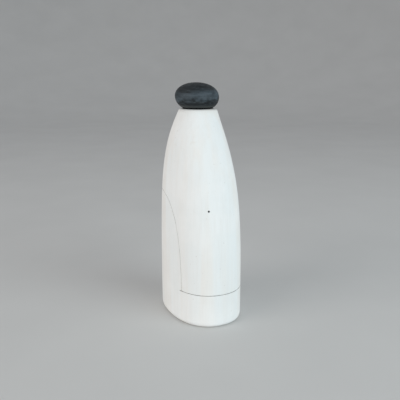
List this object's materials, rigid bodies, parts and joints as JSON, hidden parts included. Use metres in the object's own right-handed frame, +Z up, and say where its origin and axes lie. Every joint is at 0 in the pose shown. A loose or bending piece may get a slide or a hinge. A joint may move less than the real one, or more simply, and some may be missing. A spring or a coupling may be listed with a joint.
{
  "type": "kokeshi doll",
  "caption": "Minimal wooden kokeshi doll: tall leaning oval body, incised robe outline, inlaid dot, and a flat dark pebble head that turns on a captive neck peg.",
  "frame": {"origin": "centre of the body's oval footprint, on the surface it stands on", "axes": "+Z up; the doll faces -Y; +X is on the right of someone facing the doll, along the body's broad way"},
  "size_m": [0.075, 0.0532, 0.1705],
  "materials": {
    "white_body": "matt white ground brushed over wood",
    "dark_dot": "matt dark peg",
    "black_peg": "matt black stain",
    "dark_head": "satin charcoal stain with fine turning marks"
  },
  "bodies": {
    "body": {"body": "white_body", "dot_pin": "dark_dot"},
    "head": {"head": "dark_head", "neck_peg": "black_peg"}
  },
  "joints": [
    {"name": "head_turn", "type": "hinge", "parent": "body", "child": "head", "pos_m": [0, -0.002, 0.1523], "axis": [0, 0, 1], "continuous": true}
  ]
}
